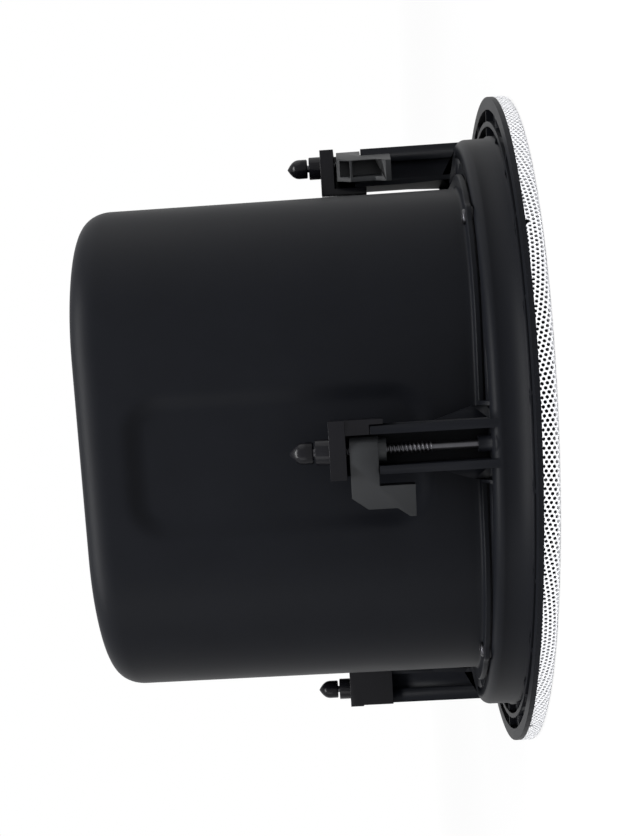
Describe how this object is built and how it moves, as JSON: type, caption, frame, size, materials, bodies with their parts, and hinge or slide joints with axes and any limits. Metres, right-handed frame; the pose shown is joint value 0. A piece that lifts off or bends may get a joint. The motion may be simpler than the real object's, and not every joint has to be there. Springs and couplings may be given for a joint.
{
  "type": "ceiling loudspeaker",
  "caption": "Round in-ceiling loudspeaker with a white perforated grille, a black square back can and swing-out screw clamps round its drum.",
  "frame": {"origin": "centre of the grille's front face, at the bottom", "axes": "+Z from the grille to the back can, +X through the first clamp screw"},
  "size_m": [0.284, 0.284, 0.1779],
  "materials": {
    "moulded_black": "satin moulded ABS",
    "cap_black": "smooth moulded nylon",
    "arm_grey": "glass-filled nylon, flat faces",
    "screw_steel": "zinc-plated steel",
    "black_screw": "black oxide steel",
    "grille_paint": "white powder coat on perforated steel",
    "magnet_nickel": "nickel-plated neodymium",
    "foam_seal": "pressed closed-cell foam",
    "frame_paint": "black paint on pressed steel",
    "cone_plastic": "polypropylene cone",
    "surround_rubber": "butyl rubber",
    "former_paper": "heat-resistant paper tube",
    "copper_wire": "enamelled copper",
    "spider_cloth": "resin-stiffened cloth",
    "pole_steel": "bright zinc plating",
    "ferrite": "sintered ferrite",
    "dome_cloth": "coated silk",
    "board_green": "lacquered board",
    "capacitor_film": "plastic film wrap",
    "winding_tape": "polyester tape",
    "wadding": "polyester wadding"
  },
  "bodies": {
    "housing": {"baffle": "moulded_black", "back_can": "moulded_black", "can_gasket": "foam_seal", "can_screws": "black_screw", "grille_magnets": "magnet_nickel", "clamp_cap_1": "cap_black", "clamp_cap_2": "cap_black", "clamp_cap_3": "cap_black", "clamp_cap_4": "cap_black", "woofer_frame": "frame_paint", "woofer_gasket": "foam_seal", "woofer_screws": "screw_steel", "surround": "surround_rubber", "spider": "spider_cloth", "front_pole_plate": "pole_steel", "ferrite_magnet": "ferrite", "rear_pole_plate": "pole_steel", "tweeter_stem": "screw_steel", "stem_nut": "screw_steel", "tweeter_housing": "moulded_black", "tweeter_magnet": "magnet_nickel", "tweeter_dome": "dome_cloth", "tweeter_ring": "moulded_black", "crossover_board": "board_green", "board_posts": "screw_steel", "crossover_coil": "copper_wire", "crossover_capacitors": "capacitor_film", "transformer_core": "frame_paint", "transformer_winding": "winding_tape", "transformer_bracket": "pole_steel", "transformer_screws": "screw_steel", "terminal_block": "board_green", "terminal_screws": "screw_steel", "wiring_cover": "moulded_black", "cover_screws": "screw_steel", "cable_grommet": "surround_rubber", "selector_switch": "moulded_black", "damping_pad": "wadding"},
    "clamp_arm_1": {"clamp_arm_1": "arm_grey"},
    "clamp_screw_1": {"clamp_screw_1": "screw_steel", "screw_tip_1": "cap_black"},
    "clamp_arm_2": {"clamp_arm_2": "arm_grey"},
    "clamp_screw_2": {"clamp_screw_2": "screw_steel", "screw_tip_2": "cap_black"},
    "clamp_arm_3": {"clamp_arm_3": "arm_grey"},
    "clamp_screw_3": {"clamp_screw_3": "screw_steel", "screw_tip_3": "cap_black"},
    "clamp_arm_4": {"clamp_arm_4": "arm_grey"},
    "clamp_screw_4": {"clamp_screw_4": "screw_steel", "screw_tip_4": "cap_black"},
    "grille": {"grille": "grille_paint"},
    "cone": {"cone": "cone_plastic", "coil_former": "former_paper", "coil_winding": "copper_wire"},
    "selector": {"selector_knob": "moulded_black"}
  },
  "joints": [
    {"name": "arm_swing_1", "type": "hinge", "parent": "housing", "child": "clamp_arm_1", "pos_m": [0.1195, 0, 0.067], "axis": [0, 0, 1], "range_deg": [0, 90]},
    {"name": "screw_turn_1", "type": "hinge", "parent": "housing", "child": "clamp_screw_1", "pos_m": [0.1195, 0, 0.05], "axis": [0, 0, 1], "continuous": true},
    {"name": "arm_swing_2", "type": "hinge", "parent": "housing", "child": "clamp_arm_2", "pos_m": [0, 0.1195, 0.067], "axis": [0, 0, 1], "range_deg": [0, 90]},
    {"name": "screw_turn_2", "type": "hinge", "parent": "housing", "child": "clamp_screw_2", "pos_m": [0, 0.1195, 0.05], "axis": [0, 0, 1], "continuous": true},
    {"name": "arm_swing_3", "type": "hinge", "parent": "housing", "child": "clamp_arm_3", "pos_m": [-0.1195, 0, 0.067], "axis": [0, 0, 1], "range_deg": [0, 90]},
    {"name": "screw_turn_3", "type": "hinge", "parent": "housing", "child": "clamp_screw_3", "pos_m": [-0.1195, 0, 0.05], "axis": [0, 0, 1], "continuous": true},
    {"name": "arm_swing_4", "type": "hinge", "parent": "housing", "child": "clamp_arm_4", "pos_m": [0, -0.1195, 0.067], "axis": [0, 0, 1], "range_deg": [0, 90]},
    {"name": "screw_turn_4", "type": "hinge", "parent": "housing", "child": "clamp_screw_4", "pos_m": [0, -0.1195, 0.05], "axis": [0, 0, 1], "continuous": true},
    {"name": "grille_pull", "type": "slide", "parent": "housing", "child": "grille", "axis": [0, 0, -1], "range_m": [0, 0.03]},
    {"name": "cone_travel", "type": "slide", "parent": "housing", "child": "cone", "axis": [0, 0, -1], "range_m": [-0.004, 0.004], "stiffness_N_per_m": 1000, "deforming": ["surround", "spider"]},
    {"name": "selector_turn", "type": "hinge", "parent": "housing", "child": "selector", "pos_m": [0.06974, 0.06974, 0.015], "axis": [0, 0, -1], "range_deg": [0, 150]}
  ]
}
